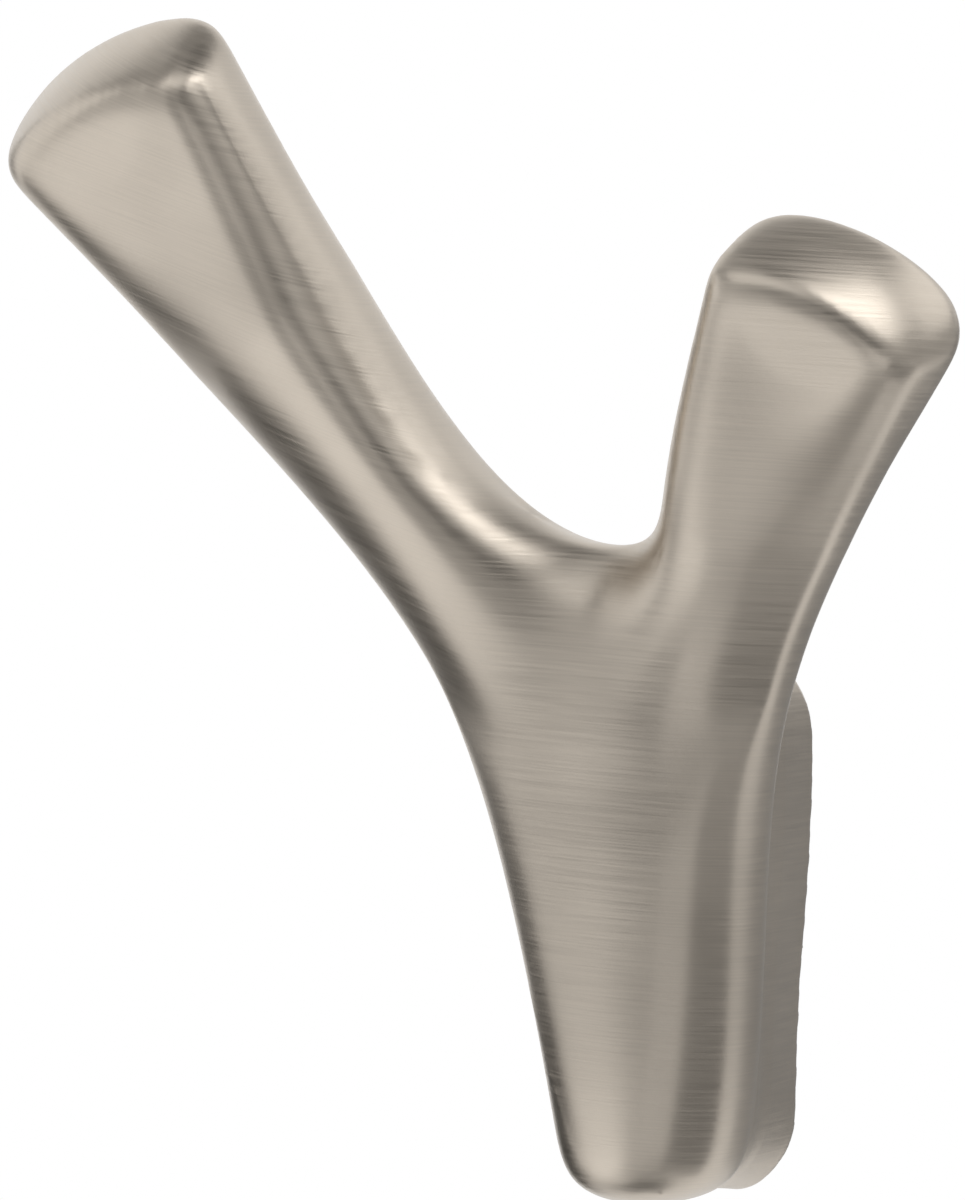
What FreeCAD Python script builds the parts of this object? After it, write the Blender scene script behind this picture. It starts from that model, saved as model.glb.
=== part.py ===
import FreeCAD, Part
import math
import os

from FreeCAD import Vector

os.makedirs("parts", exist_ok=True)

# Sizes in millimetres. +Z is up, the wall is the plane Y = 0 and the hook stands in front of it at -Y.
# The origin is the middle of the face that meets the wall.

# Foot that meets the wall, an upright oval that narrows downwards.
foot_height = 47.2
foot_top_width = 14.2
foot_low_width = 11.0
foot_round_height = 8.4
foot_top_flare = 0.9
foot_low_flare = 1.2
foot_bottom_rise = 1.6
# How far the foot runs into the back of the stem.
foot_sink = 3.4

# Stem in front of the foot, seen from the front.
stem_foot_width = 13.6
stem_lift = 0.8
stem_neck_width = 21.0
stem_neck_height = 2.4
shoulder_left = 16.1
shoulder_right = 13.5
shoulder_height = 19.4
crotch_height = 31.9
crotch_bottom_x = 1.2
crotch_left_run = 8.8
crotch_left_rise = 2.2
crotch_right_run = 3.6
crotch_right_rise = 1.1

# Long arm, towards -X. Angles are measured from the upright, in the front view.
long_waist_out = 26.55
long_waist_height = 47.8
long_waist_width = 15.6
long_waist_angle = 33.4
long_tip_out = 38.3
long_tip_height = 68.4
long_tip_width = 23.6
long_tip_angle = 21.8

# Short arm, towards +X.
short_waist_out = 13.4
short_waist_height = 34.6
short_waist_width = 14.2
short_waist_angle = 32.4
short_tip_out = 24.0
short_tip_height = 51.4
short_tip_width = 20.0
short_tip_angle = 21.4

# Front of the casting in the side view, as a distance from the wall, and the depth of the arms.
front_at_bottom = 21.4
front_at_neck = 26.0
front_at_crotch = 30.0
front_at_tip = 47.0
arm_depth = 12.6

# Domed arm ends: rise over the tip and lean away from the wall in the side view.
long_dome_radius = 28.0
short_dome_radius = 18.0
long_tip_rise = 4.6
long_tip_lean = 45.0
short_tip_rise = 5.2
short_tip_lean = 42.0
short_dome_angle = 38.0
long_dome_angle = 30.0

# Rounding.
left_edge_radius = 4.4
crotch_edge_radius = 3.6
right_edge_radius = 4.2
tip_edge_radius = 2.2
bottom_edge_radius = 3.2
fold_radius = 2.5
bottom_sag = 1.7

# Two blind holes in the wall face for M4 fixing studs, hidden when the hook is up.
hole_spacing = 32.0
hole_radius = 1.65
hole_depth = 10.0

# Length past each arm end that the domes cut away.
trim = 9.0

# Distance at which two shapes count as touching.
touch = 0.001

bottom_z = -foot_height / 2 + bottom_sag + stem_lift


def flat(x, z):
    return Vector(x, 0, z)


def spline(points, first=None, last=None):
    curve = Part.BSplineCurve()
    if first is None:
        curve.interpolate(Points=points)
    else:
        curve.interpolate(Points=points, InitialTangent=first, FinalTangent=last)
    return curve.toShape()


def closed(edges):
    return Part.Wire(Part.__sortEdges__(edges))


def solid(shape):
    return shape.Solids[0]


def across(side, out, height, width, angle):
    # The two edge points of an arm at one place, the outer one first.
    tilt = math.radians(angle)
    middle = flat(side * out, height)
    outward = flat(side * math.cos(tilt), -math.sin(tilt))
    return middle + outward * (width / 2), middle - outward * (width / 2)


def run_on(start, end, length=trim):
    # A point past the end of an arm, for the dome to cut away.
    return end + (end - start).normalize() * length


# Front outline of the casting.
long_waist = across(-1, long_waist_out, long_waist_height, long_waist_width, long_waist_angle)
long_tip = across(-1, long_tip_out, long_tip_height, long_tip_width, long_tip_angle)
long_end = [run_on(a, b) for a, b in zip(long_waist, long_tip)]
short_waist = across(1, short_waist_out, short_waist_height, short_waist_width, short_waist_angle)
short_tip = across(1, short_tip_out, short_tip_height, short_tip_width, short_tip_angle)
short_end = [run_on(a, b) for a, b in zip(short_waist, short_tip)]
foot_left = flat(-stem_foot_width / 2, bottom_z)
foot_right = flat(stem_foot_width / 2, bottom_z)

left_edge = spline([
    foot_left,
    flat(-stem_neck_width / 2, stem_neck_height),
    flat(-shoulder_left, shoulder_height),
    long_waist[0],
    long_tip[0],
    long_end[0],
])
crotch_edge = spline([
    long_end[1],
    long_tip[1],
    long_waist[1],
    flat(crotch_bottom_x - crotch_left_run, crotch_height + crotch_left_rise),
    flat(crotch_bottom_x, crotch_height),
    flat(crotch_bottom_x + crotch_right_run, crotch_height + crotch_right_rise),
    short_waist[1],
    short_tip[1],
    short_end[1],
])
right_edge = spline([
    foot_right,
    flat(stem_neck_width / 2, stem_neck_height),
    flat(shoulder_right, shoulder_height),
    short_waist[0],
    short_tip[0],
    short_end[0],
])
bottom_edge = Part.Arc(foot_left, flat(0, bottom_z - bottom_sag), foot_right).toShape()
outline = closed([
    left_edge,
    Part.makeLine(long_end[0], long_end[1]),
    crotch_edge,
    Part.makeLine(short_end[1], short_end[0]),
    right_edge,
    bottom_edge,
])
reach = 2 * front_at_tip
plan = Part.Face(outline).extrude(Vector(0, -reach, 0))

# Side form: stem and arms lean away from the wall with an even depth.
side_x = -2 * reach
front_points = [
    Vector(side_x, -front_at_bottom, bottom_z - trim),
    Vector(side_x, -front_at_neck, stem_neck_height),
    Vector(side_x, -front_at_crotch, crotch_height),
    Vector(side_x, -front_at_tip, long_tip_height),
]
front_points.append(run_on(front_points[2], front_points[3], 3 * trim))
deep = Vector(0, arm_depth, 0)
front_line = spline(front_points)
side_form = closed([
    front_line,
    Part.makeLine(front_points[-1], front_points[-1] + deep),
    front_line.translated(deep),
    Part.makeLine(front_points[0] + deep, front_points[0]),
])
slab = Part.Face(side_form).extrude(Vector(-2 * side_x, 0, 0))
casting = solid(plan.common(slab))


def meets(edge, shape):
    # True where the middle of an edge lies on a shape.
    middle = Part.Vertex(edge.valueAt((edge.FirstParameter + edge.LastParameter) / 2))
    return shape.distToShape(middle)[0] < touch


# Round the long edges, front and back.
for radius, line in [
    (left_edge_radius, left_edge), (crotch_edge_radius, crotch_edge), (right_edge_radius, right_edge)
]:
    wall = line.extrude(Vector(0, -reach, 0))
    long_edges = [e for e in casting.Edges if e.Length > 2 * arm_depth and meets(e, wall)]
    casting = casting.makeFillet(radius, long_edges)


def front_y(z):
    # Front of the casting at a height.
    level = Part.makeLine(Vector(side_x, -2 * reach, z), Vector(side_x, 0, z))
    return front_line.distToShape(level)[1][0][0].y


def past_dome(side, out, height, angle, lean, rise, radius, width):
    # What lies past a domed arm end: a thick disc with a ball taken out of it.
    tilt = math.radians(angle)
    axis = Vector(side * math.sin(tilt), -math.tan(math.radians(lean)) * math.cos(tilt), math.cos(tilt))
    axis.normalize()
    top = Vector(side * out, front_y(height) + arm_depth / 2, height) + axis * rise
    disc = Part.makeCylinder(width, 4 * trim, top - axis * radius / 2, axis)
    return disc.cut(Part.makeSphere(radius, top - axis * radius))


casting = casting.cut(past_dome(
    -1, long_tip_out, long_tip_height, long_dome_angle, long_tip_lean, long_tip_rise, long_dome_radius,
    long_tip_width
))
casting = solid(casting.cut(past_dome(
    1, short_tip_out, short_tip_height, short_dome_angle, short_tip_lean, short_tip_rise, short_dome_radius,
    short_tip_width
)))
domes = [f for f in casting.Faces if isinstance(f.Surface, Part.Sphere)]
casting = casting.makeFillet(tip_edge_radius, [e for f in domes for e in f.Edges])
bottom = min(casting.Faces, key=lambda f: f.CenterOfMass.z)
casting = casting.makeFillet(bottom_edge_radius, bottom.Edges)


def foot_outline(top_y, low_y, top_grow, low_grow, lift):
    # The upright oval, at one distance from the wall at its top and another at its bottom.
    top_half = foot_top_width / 2 + top_grow
    low_half = foot_low_width / 2 + low_grow
    high = foot_height / 2
    low = lift - high
    diag = math.sqrt(0.5)
    lean = (top_y - low_y) / (high - low)
    up = Vector(0, lean, 1).normalize()

    def at(x, z):
        return Vector(x, low_y + lean * (z - low), z)

    def end(half, tip, sign):
        start = tip - sign * foot_round_height
        middle = tip - sign * foot_round_height * (1 - diag)
        points = [(half, start), (half * diag, middle), (0, tip), (-half * diag, middle), (-half, start)]
        return spline([at(x, z) for x, z in points], up * sign, up * -sign)

    def flank(sign):
        bottom_end = at(sign * low_half, low + foot_round_height)
        top_end = at(sign * top_half, high - foot_round_height)
        return spline([bottom_end, top_end], up, up)

    return closed([end(top_half, high, 1), flank(1), end(low_half, low, -1), flank(-1)])


def inside_stem(z):
    # A place a little way into the back of the stem at a height.
    return front_y(z) + arm_depth - foot_sink


foot = Part.makeLoft([
    foot_outline(0, 0, 0, 0, 0),
    foot_outline(
        inside_stem(foot_height / 2), inside_stem(foot_bottom_rise - foot_height / 2),
        foot_top_flare, foot_low_flare, foot_bottom_rise
    ),
], True)
body = solid(casting.fuse(foot).removeSplitter())
fold = [e for e in body.Edges if meets(e, casting) and meets(e, foot)]
body = body.makeFillet(fold_radius, fold)

# Fixing holes, drilled from the wall face.
for sign in (1, -1):
    mouth = Vector(0, 0, sign * hole_spacing / 2)
    body = body.cut(Part.makeCylinder(hole_radius, hole_depth, mouth, Vector(0, -1, 0)))
body = solid(body)
body.exportStep("parts/hook_body.step")
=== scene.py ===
import math

import bmesh
import bpy
from mathutils import Euler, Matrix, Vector


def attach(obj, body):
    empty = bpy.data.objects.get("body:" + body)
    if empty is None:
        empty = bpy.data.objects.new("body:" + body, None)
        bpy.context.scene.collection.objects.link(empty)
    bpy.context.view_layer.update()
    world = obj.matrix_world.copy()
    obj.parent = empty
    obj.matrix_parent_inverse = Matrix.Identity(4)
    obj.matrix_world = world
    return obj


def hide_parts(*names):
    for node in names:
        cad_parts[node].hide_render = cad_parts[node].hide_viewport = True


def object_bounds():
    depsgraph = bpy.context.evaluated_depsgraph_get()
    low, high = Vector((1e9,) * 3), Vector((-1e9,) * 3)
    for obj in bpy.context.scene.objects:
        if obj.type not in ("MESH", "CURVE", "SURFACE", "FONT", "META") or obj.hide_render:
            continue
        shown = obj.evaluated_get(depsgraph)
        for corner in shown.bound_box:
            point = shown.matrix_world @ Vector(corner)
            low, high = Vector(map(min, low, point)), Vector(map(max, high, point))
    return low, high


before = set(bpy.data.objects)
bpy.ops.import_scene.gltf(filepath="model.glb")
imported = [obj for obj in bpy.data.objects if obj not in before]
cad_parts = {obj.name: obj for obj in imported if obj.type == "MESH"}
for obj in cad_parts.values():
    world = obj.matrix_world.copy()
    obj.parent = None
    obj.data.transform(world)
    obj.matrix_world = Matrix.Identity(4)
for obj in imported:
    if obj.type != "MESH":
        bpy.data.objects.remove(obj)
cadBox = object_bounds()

scene = bpy.context.scene
scene.view_settings.view_transform = "Standard"


# Satin nickel, brushed across the limbs

nickelLook = {
    "tone": (0.67, 0.602, 0.518, 1.0),
    "toneLow": (0.555, 0.498, 0.428, 1.0),
    "toneSpan": (0.35, 0.65),               # pattern values that get the low and the full tone
    "rough": (0.31, 0.43),
    "roughSpan": (0.3, 0.7),                # brush values that get the low and the high roughness
    "anisotropy": 0.55,
    "anisotropyTurn": 0.25,                 # a quarter turn, so the gloss spreads across the brush lines
    "brushTurn": math.radians(4),           # brush lines fall slightly to the right
    "brushTurnLong": math.radians(20),      # and more on the long arm
    "longArmX": (-0.008, -0.016),           # from where to where the lines turn to those of the long arm
    "brushFine": (120.0, 120.0, 6400.0),    # lines are long across a limb and fine along it
    "brushDetail": 3.0,
    "brushBump": 0.05,
    "brushDepth": 0.0002,
    "cloudScale": 70.0,                     # slow change of tone in the plating
    "cloudDetail": 2.0,
    "cloudShare": 0.5,
}


def brushLines(tree, coords, turnBy):
    turn = tree.nodes.new("ShaderNodeMapping")
    turn.vector_type = "TEXTURE"
    turn.inputs["Rotation"].default_value = (0, turnBy, 0)
    turn.inputs["Scale"].default_value = [1 / fine for fine in nickelLook["brushFine"]]
    tree.links.new(coords, turn.inputs["Vector"])
    lines = tree.nodes.new("ShaderNodeTexNoise")
    lines.inputs["Scale"].default_value = 1.0
    lines.inputs["Detail"].default_value = nickelLook["brushDetail"]
    tree.links.new(turn.outputs["Vector"], lines.inputs["Vector"])
    return lines.outputs["Fac"]


def spread(tree, value, span, target):
    # Makes the span of a value run over the target's two ends
    ramp = tree.nodes.new("ShaderNodeMapRange")
    for name, number in zip(("From Min", "From Max", "To Min", "To Max"), span + target):
        ramp.inputs[name].default_value = number
    tree.links.new(value, ramp.inputs["Value"])
    return ramp.outputs["Result"]


def satinNickel():
    material = bpy.data.materials.new("satinNickel")
    material.use_nodes = True
    tree = material.node_tree
    nodes = tree.nodes
    links = tree.links
    shader = nodes["Principled BSDF"]
    shader.inputs["Metallic"].default_value = 1.0
    shader.inputs["Anisotropic"].default_value = nickelLook["anisotropy"]
    shader.inputs["Anisotropic Rotation"].default_value = nickelLook["anisotropyTurn"]

    coords = nodes.new("ShaderNodeTexCoord").outputs["Object"]
    split = nodes.new("ShaderNodeSeparateXYZ")
    links.new(coords, split.inputs["Vector"])
    onLongArm = spread(tree, split.outputs["X"], nickelLook["longArmX"], (0.0, 1.0))
    brushMix = nodes.new("ShaderNodeMix")
    links.new(onLongArm, brushMix.inputs["Factor"])
    links.new(brushLines(tree, coords, nickelLook["brushTurn"]), brushMix.inputs["A"])
    links.new(brushLines(tree, coords, nickelLook["brushTurnLong"]), brushMix.inputs["B"])
    brush = brushMix.outputs["Result"]

    cloud = nodes.new("ShaderNodeTexNoise")
    cloud.inputs["Scale"].default_value = nickelLook["cloudScale"]
    cloud.inputs["Detail"].default_value = nickelLook["cloudDetail"]
    links.new(coords, cloud.inputs["Vector"])
    pattern = nodes.new("ShaderNodeMix")      # brush lines and clouds together
    pattern.inputs["Factor"].default_value = nickelLook["cloudShare"]
    links.new(brush, pattern.inputs["A"])
    links.new(cloud.outputs["Fac"], pattern.inputs["B"])
    toneRamp = nodes.new("ShaderNodeValToRGB")
    low, full = toneRamp.color_ramp.elements
    low.position, full.position = nickelLook["toneSpan"]
    low.color = nickelLook["toneLow"]
    full.color = nickelLook["tone"]
    links.new(pattern.outputs["Result"], toneRamp.inputs["Fac"])
    links.new(toneRamp.outputs["Color"], shader.inputs["Base Color"])

    rough = spread(tree, brush, nickelLook["roughSpan"], nickelLook["rough"])
    links.new(rough, shader.inputs["Roughness"])
    bump = nodes.new("ShaderNodeBump")
    bump.inputs["Strength"].default_value = nickelLook["brushBump"]
    bump.inputs["Distance"].default_value = nickelLook["brushDepth"]
    links.new(brush, bump.inputs["Height"])
    links.new(bump.outputs["Normal"], shader.inputs["Normal"])

    around = nodes.new("ShaderNodeTangent")      # tangents run level round the casting
    around.direction_type = "RADIAL"
    around.axis = "Z"
    links.new(around.outputs["Tangent"], shader.inputs["Tangent"])
    return material


nickel = satinNickel()
print("material made")


# Hook body: the casting's own form, with its front crowned and its edges softened as polishing leaves them

castingPlan = {
    "weld": 0.00001,
    "grain": 0.00045,                   # size of the new mesh's faces
    "grainTurn": (0.45, 0.25, 0.65),    # turns the grid of the new mesh away from the flat faces
    "stepPasses": 6,                    # takes out the steps of the new mesh
    "polishPasses": 200,
    "fill": 0.0004,                     # puts back what the polishing takes off
    "longTip": Vector((-0.0395, -0.0405, 0.0715)),
    "shortTip": Vector((0.0262, -0.0335, 0.0545)),
    "tipKeep": (0.007, 0.019, 0.04),    # from, to and least share of polish near an arm end
    "wallKeep": (0.0020, 0.0075),       # from where to where the polish sets in, away from the wall
    "footPolish": 0.10,                 # share of polish at the wall
    "crown": 0.0027,                    # how far the middle of each limb stands over its edges
    "crownBase": 0.4,                   # share of the crown that comes from lowering the edges
    "crownTip": (0.010, 0.026, 0.0),    # from, to and least share of crown and fill near an arm end
    "crownFacing": 0.6,                 # how squarely a face looks forward where it moves in full
    "limbJoin": 4,                      # how sharply the crowns of two limbs meet
    # Shallow hollow under the fork: x, z, radius and depth
    "hollow": (-0.001, 0.031, 0.010, 0.0026),
    # Middle lines of the limbs in the front view: two ends, half the limb's width at each,
    # and how much the limb's front leans
    "limbs": [
        ((0.0, -0.028), (0.0, 0.020), 0.0070, 0.0140, 0.0),
        ((0.0, 0.016), (-0.0265, 0.0478), 0.0105, 0.0078, -0.18),
        ((-0.0265, 0.0478), (-0.0420, 0.0765), 0.0078, 0.0130, -0.18),
        ((0.002, 0.016), (0.0134, 0.0346), 0.0095, 0.0072, 0.38),
        ((0.0134, 0.0346), (0.0285, 0.0595), 0.0072, 0.0115, 0.38),
    ],
}


def clamp(value):
    return max(0.0, min(1.0, value))


def tipShare(place, start, stop, least):
    share = 1.0
    for tip in (castingPlan["longTip"], castingPlan["shortTip"]):
        run = ((place - tip).length - start) / (stop - start)
        share = min(share, least + (1 - least) * clamp(run))
    return share


def wallShare(place):
    near, far = castingPlan["wallKeep"]
    return clamp((-place.y - near) / (far - near))


def polishShare(place):
    least = castingPlan["footPolish"]
    return tipShare(place, *castingPlan["tipKeep"]) * (least + (1 - least) * wallShare(place))


def fillShare(place):
    return tipShare(place, *castingPlan["crownTip"]) * wallShare(place)


def frontMove(place):
    # How far a place on the front goes towards the wall, for the crown, the lean and the hollow
    spot = Vector((place.x, place.z))
    join = castingPlan["limbJoin"]
    total = 0.0
    leaning = 0.0
    for first, last, firstHalf, lastHalf, lean in castingPlan["limbs"]:
        start = Vector(first)
        run = Vector(last) - start
        along = clamp((spot - start).dot(run) / run.length_squared)
        off = spot - start - run * along
        reach = off.length / (firstHalf + (lastHalf - firstHalf) * along)
        share = max(0.0, 1 - reach * reach) ** join
        total += share
        leaning += share * lean * (off.x * run.y - off.y * run.x) / run.length
    x, z, radius, depth = castingPlan["hollow"]
    near = math.exp(-((spot.x - x) ** 2 + (spot.y - z) ** 2) / radius ** 2)
    move = castingPlan["crown"] * (castingPlan["crownBase"] - min(1.0, total) ** (1 / join))
    if total > 0:
        move += (1 - near) * leaning / total      # the lean fades out in the hollow
    return move * tipShare(place, *castingPlan["crownTip"]) + depth * near


def settle(piece):
    # Puts the modifiers' result into the piece
    view = bpy.context.evaluated_depsgraph_get()
    mesh = bpy.data.meshes.new_from_object(piece.evaluated_get(view))
    piece.modifiers.clear()
    piece.data = mesh


def evenCopy(name):
    # A copy of the casting with an even mesh
    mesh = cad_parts["hook_body"].data.copy()
    work = bmesh.new()
    work.from_mesh(mesh)
    bmesh.ops.remove_doubles(work, verts=work.verts, dist=castingPlan["weld"])
    work.to_mesh(mesh)
    work.free()
    turn = Euler(castingPlan["grainTurn"]).to_matrix().to_4x4()
    mesh.transform(turn)
    piece = bpy.data.objects.new(name, mesh)
    scene.collection.objects.link(piece)
    remesh = piece.modifiers.new("even mesh", "REMESH")
    remesh.mode = "VOXEL"
    remesh.voxel_size = castingPlan["grain"]
    settle(piece)
    piece.data.transform(turn.inverted())
    return piece


def hookCasting():
    piece = evenCopy("hookCasting")
    polished = piece.vertex_groups.new(name="polish")
    filled = piece.vertex_groups.new(name="fill")
    vertices = piece.data.vertices
    normals = [vertex.normal.copy() for vertex in vertices]
    for vertex, normal in zip(vertices, normals):
        polished.add([vertex.index], polishShare(vertex.co), "REPLACE")
        filled.add([vertex.index], fillShare(vertex.co), "REPLACE")
        vertex.co.y += frontMove(vertex.co) * clamp(-normal.y / castingPlan["crownFacing"])

    evenOut = piece.modifiers.new("take out the steps", "SMOOTH")
    evenOut.iterations = castingPlan["stepPasses"]
    polish = piece.modifiers.new("polish", "SMOOTH")
    polish.iterations = castingPlan["polishPasses"]
    polish.vertex_group = polished.name
    fill = piece.modifiers.new("fill", "DISPLACE")
    fill.strength = castingPlan["fill"]
    fill.mid_level = 0.0
    fill.vertex_group = filled.name
    settle(piece)

    mesh = piece.data
    mesh.name = piece.name
    for face in mesh.polygons:
        face.use_smooth = True
    mesh.materials.clear()
    mesh.materials.append(nickel)
    return piece


casting = hookCasting()
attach(casting, "root")
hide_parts("hook_body")
print("casting made")


# Camera at the viewing angle of the picture

cameraPlan = {
    "azimuth": math.radians(28),
    "elevation": math.radians(1.5),
    "middle": Vector((-0.008, -0.022, 0.025)),
    "distance": 0.6,
    "lens": 214.3,
    "clipStart": 0.01,
    "aimRight": -0.0049,      # from the middle to the place that the camera looks at
    "aimUp": 0.0027,
}


def outward(azimuth, elevation):
    # Direction away from the hook, turned to the right of its front and then up
    level = math.cos(elevation)
    return Vector((math.sin(azimuth) * level, -math.cos(azimuth) * level, math.sin(elevation)))


def pictureCamera():
    toCamera = outward(cameraPlan["azimuth"], cameraPlan["elevation"])
    right = Vector((0, 0, 1)).cross(toCamera).normalized()
    up = toCamera.cross(right)
    lens = bpy.data.cameras.new("pictureCamera")
    lens.lens = cameraPlan["lens"]
    lens.clip_start = cameraPlan["clipStart"]
    camera = bpy.data.objects.new("pictureCamera", lens)
    camera.location = cameraPlan["middle"] + toCamera * cameraPlan["distance"]
    target = cameraPlan["middle"] + right * cameraPlan["aimRight"] + up * cameraPlan["aimUp"]
    camera.rotation_euler = (target - camera.location).to_track_quat("-Z", "Y").to_euler()
    scene.collection.objects.link(camera)
    scene.camera = camera


pictureCamera()
print("camera made")


# Pale floor and white world

floorPlan = {
    "drop": 0.16,      # how far the floor lies under the hook
    "radius": 0.9,
    "segments": 96,
    "tone": (0.9, 0.9, 0.9, 1.0),
    "rough": 0.8,
}


def paleFloor():
    work = bmesh.new()
    bmesh.ops.create_circle(
        work, cap_ends=True, segments=floorPlan["segments"], radius=floorPlan["radius"]
    )
    bmesh.ops.translate(work, verts=work.verts, vec=(0, 0, cadBox[0][2] - floorPlan["drop"]))
    mesh = bpy.data.meshes.new("paleFloor")
    work.to_mesh(mesh)
    work.free()
    paint = bpy.data.materials.new("paleFloor")
    paint.use_nodes = True
    shader = paint.node_tree.nodes["Principled BSDF"]
    shader.inputs["Base Color"].default_value = floorPlan["tone"]
    shader.inputs["Roughness"].default_value = floorPlan["rough"]
    mesh.materials.append(paint)
    floor = bpy.data.objects.new("paleFloor", mesh)
    scene.collection.objects.link(floor)


def whiteWorld():
    world = bpy.data.worlds.new("whiteWorld")
    scene.world = world
    world.use_nodes = True
    background = world.node_tree.nodes["Background"]
    background.inputs["Color"].default_value = (1.0, 1.0, 1.0, 1.0)
    background.inputs["Strength"].default_value = 1.0


paleFloor()
whiteWorld()
print("floor and world made")


# Grey studio round the hook, open straight behind it, with soft boxes. Only reflections show them.

studioPlan = {
    "radius": 0.8,
    "segments": (48, 24),
    "tone": 0.28,
    "openBehind": -0.85,      # cosine, from the camera's side, past which the studio is open
    "boxDistance": 0.18,
    # Degrees to the right of the camera and up, width and height as shares of the distance, and brightness
    "boxes": {
        "left": (-100, 16, 0.88, 0.88, 0.95),
        "leftFront": (-60, 6, 0.68, 0.68, 0.52),
        "lowerLeft": (-68, -46, 0.88, 0.68, 1.15),
        "underLeft": (-132, -36, 0.84, 0.72, 0.05),
        "lowerAhead": (-14, -56, 0.72, 0.56, 0.46),
        "frontLeft": (-30, -12, 0.52, 0.60, 0.31),
        "upperFront": (-34, 46, 0.76, 0.36, 1.40),
        "upperAhead": (33, 47, 0.68, 0.36, 3.10),
        "ahead": (3, 10, 0.60, 0.64, 0.03),
        "rightFront": (46, 4, 0.68, 0.72, 0.38),
        "right": (92, 2, 0.80, 0.72, 0.42),
        "upperRight": (100, 42, 0.88, 0.44, 1.30),
        "lowerRight": (55, -40, 1.00, 0.72, 0.20),
        "backRight": (140, -16, 0.72, 0.72, 0.28),
        "upperBackRight": (140, 34, 0.72, 0.60, 0.80),
        "upperBackLeft": (-165, 42, 1.12, 0.80, 1.00),
        "below": (0, -88, 0.52, 0.52, 0.10),
        "above": (28, 76, 0.76, 0.52, 0.15),
    },
}


def glowPaint(name, tone):
    paint = bpy.data.materials.new(name)
    paint.use_nodes = True
    nodes = paint.node_tree.nodes
    glow = nodes.new("ShaderNodeEmission")
    glow.inputs["Color"].default_value = (tone, tone, tone, 1.0)
    paint.node_tree.links.new(glow.outputs["Emission"], nodes["Material Output"].inputs["Surface"])
    return paint


def studioPiece(name, work, tone):
    mesh = bpy.data.meshes.new(name)
    work.to_mesh(mesh)
    work.free()
    mesh.materials.append(glowPaint(name, tone))
    piece = bpy.data.objects.new(name, mesh)
    piece.visible_camera = False
    piece.visible_diffuse = False
    piece.visible_shadow = False
    piece.visible_transmission = False
    scene.collection.objects.link(piece)


def greyStudio():
    around, rows = studioPlan["segments"]
    front = outward(cameraPlan["azimuth"], 0)
    work = bmesh.new()
    bmesh.ops.create_uvsphere(work, u_segments=around, v_segments=rows, radius=studioPlan["radius"])
    behind = []
    for face in work.faces:
        if face.calc_center_median().normalized().dot(front) < studioPlan["openBehind"]:
            behind.append(face)
    bmesh.ops.delete(work, geom=behind, context="FACES")
    bmesh.ops.translate(work, verts=work.verts, vec=cameraPlan["middle"])
    studioPiece("greyStudio", work, studioPlan["tone"])


def softBoxes():
    distance = studioPlan["boxDistance"]
    for name, (side, lift, width, height, tone) in studioPlan["boxes"].items():
        away = outward(cameraPlan["azimuth"] + math.radians(side), math.radians(lift))
        work = bmesh.new()
        bmesh.ops.create_grid(work, x_segments=1, y_segments=1, size=distance / 2)
        bmesh.ops.scale(work, verts=work.verts, vec=(width, height, 1))
        turn = away.to_track_quat("Z", "Y").to_matrix()
        bmesh.ops.rotate(work, verts=work.verts, cent=(0, 0, 0), matrix=turn)
        bmesh.ops.translate(work, verts=work.verts, vec=cameraPlan["middle"] + away * distance)
        studioPiece(name + "Box", work, tone)


greyStudio()
softBoxes()
print("light made")
